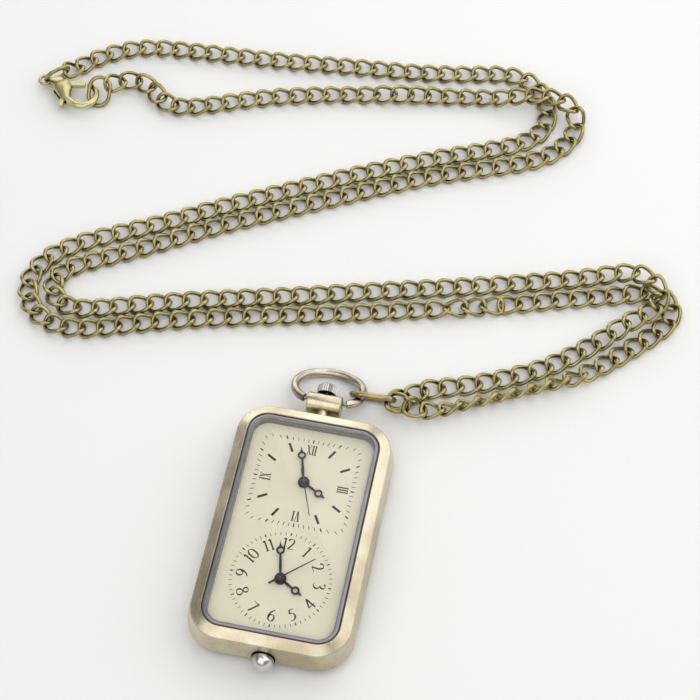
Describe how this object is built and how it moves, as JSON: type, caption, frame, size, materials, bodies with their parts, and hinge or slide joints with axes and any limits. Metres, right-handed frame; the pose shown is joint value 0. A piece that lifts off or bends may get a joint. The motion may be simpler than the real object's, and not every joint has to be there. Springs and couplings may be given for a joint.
{
  "type": "pocket watch",
  "caption": "Rectangular pocket watch with rounded corners, paired dials, knurled and ball crowns, a stirrup bow and a long doubled curb chain ending in a lobster clasp.",
  "frame": {"origin": "centre of the flat back of the case, which rests on the table", "axes": "+Z out of the dials, +Y along the case to the pendant, +X to the right of the dials"},
  "size_m": [0.1356, 0.139, 0.0082],
  "materials": {
    "case_brass": "brushed and worn, warm grey-gold",
    "chain_brass": "polished, aged",
    "bright_metal": "polished, silver white",
    "grey_ring": "satin, lavender grey",
    "crystal": "clear",
    "dial": "matt cream",
    "black_lacquer": "satin black",
    "steel": "brushed",
    "gilt": "gilt",
    "copper": "lacquered copper winding",
    "board": "green solder mask",
    "black_plastic": "moulded, black",
    "white_plastic": "moulded, white",
    "rubber": "black"
  },
  "bodies": {
    "chain": {"bow": "bright_metal", "connecting_ring": "chain_brass", "clasp_strand_1": "chain_brass", "clasp_strand_2": "chain_brass", "clasp_strand_3": "chain_brass", "clasp_strand_4": "chain_brass", "ring_strand_1": "chain_brass", "ring_strand_2": "chain_brass", "ring_strand_3": "chain_brass", "ring_strand_4": "chain_brass", "tail_ring": "chain_brass", "hook_ring": "chain_brass", "clasp_body": "chain_brass", "clasp_pin": "chain_brass", "clasp_spring": "steel"},
    "clasp_thumb_lever": {"clasp_lever": "chain_brass"},
    "case": {"case_frame": "case_brass", "back_cover": "case_brass", "back_gasket": "rubber", "crystal_ring": "grey_ring", "crystal": "crystal", "dial": "dial", "movement_holder": "white_plastic", "pendant": "case_brass", "upper_main_plate": "black_plastic", "upper_battery": "bright_metal", "upper_battery_strap": "steel", "upper_circuit_board": "board", "upper_quartz_can": "bright_metal", "upper_coil": "copper", "upper_stator": "steel", "upper_train_bridge": "steel", "lower_main_plate": "black_plastic", "lower_battery": "bright_metal", "lower_battery_strap": "steel", "lower_circuit_board": "board", "lower_quartz_can": "bright_metal", "lower_coil": "copper", "lower_stator": "steel", "lower_train_bridge": "steel"},
    "upper_pull": {"upper_setting_lever": "steel"},
    "upper_winder": {"upper_stem": "steel", "upper_crown": "bright_metal"},
    "upper_hours": {"upper_hour_wheel": "gilt", "upper_hour_hand": "black_lacquer"},
    "upper_minutes": {"upper_cannon_pinion": "gilt", "upper_minute_hand": "black_lacquer"},
    "upper_seconds": {"upper_second_arbor": "steel", "upper_second_hand": "black_lacquer"},
    "lower_pull": {"lower_setting_lever": "steel"},
    "lower_winder": {"lower_stem": "steel", "lower_crown": "bright_metal"},
    "lower_hours": {"lower_hour_wheel": "gilt", "lower_hour_hand": "black_lacquer"},
    "lower_minutes": {"lower_cannon_pinion": "gilt", "lower_minute_hand": "black_lacquer"},
    "lower_seconds": {"lower_second_arbor": "steel", "lower_second_hand": "black_lacquer"}
  },
  "joints": [
    {"name": "case_on_bow", "type": "hinge", "parent": "chain", "child": "case", "pos_m": [0, 0.02755, 0.0036], "axis": [-1, 0, 0], "range_deg": [0, 95]},
    {"name": "clasp_lever_turn", "type": "hinge", "parent": "chain", "child": "clasp_thumb_lever", "pos_m": [-0.06766, 0.09005, 0.0017], "axis": [0, 0, -1], "range_deg": [0, 20], "stiffness_Nm_per_rad": 0.002, "springref_deg": -28.65},
    {"name": "upper_crown_pull", "type": "slide", "parent": "case", "child": "upper_pull", "axis": [0, 1, 0], "range_m": [0, 0.0009]},
    {"name": "upper_crown_turn", "type": "hinge", "parent": "upper_pull", "child": "upper_winder", "pos_m": [0, 0.0295, 0.0036], "axis": [0, 1, 0], "continuous": true},
    {"name": "upper_seconds_turn", "type": "hinge", "parent": "case", "child": "upper_seconds", "pos_m": [0, 0.00915, 0.0065], "axis": [0, 0, -1], "continuous": true},
    {"name": "upper_minutes_turn", "type": "hinge", "parent": "case", "child": "upper_minutes", "pos_m": [0, 0.00915, 0.0065], "axis": [0, 0, -1], "continuous": true},
    {"name": "upper_hours_turn", "type": "hinge", "parent": "case", "child": "upper_hours", "pos_m": [0, 0.00915, 0.0065], "axis": [0, 0, -1], "continuous": true},
    {"name": "lower_crown_pull", "type": "slide", "parent": "case", "child": "lower_pull", "axis": [0, -1, 0], "range_m": [0, 0.0009]},
    {"name": "lower_crown_turn", "type": "hinge", "parent": "lower_pull", "child": "lower_winder", "pos_m": [0, -0.0238, 0.0036], "axis": [0, -1, 0], "continuous": true},
    {"name": "lower_seconds_turn", "type": "hinge", "parent": "case", "child": "lower_seconds", "pos_m": [0, -0.0097, 0.0065], "axis": [0, 0, -1], "continuous": true},
    {"name": "lower_minutes_turn", "type": "hinge", "parent": "case", "child": "lower_minutes", "pos_m": [0, -0.0097, 0.0065], "axis": [0, 0, -1], "continuous": true},
    {"name": "lower_hours_turn", "type": "hinge", "parent": "case", "child": "lower_hours", "pos_m": [0, -0.0097, 0.0065], "axis": [0, 0, -1], "continuous": true}
  ],
  "couplings": [
    {"joint": "upper_minutes_turn", "follows": "upper_seconds_turn", "ratio": 0.016667},
    {"joint": "upper_hours_turn", "follows": "upper_seconds_turn", "ratio": 0.0013889},
    {"joint": "lower_minutes_turn", "follows": "lower_seconds_turn", "ratio": 0.016667},
    {"joint": "lower_hours_turn", "follows": "lower_seconds_turn", "ratio": 0.0013889}
  ]
}
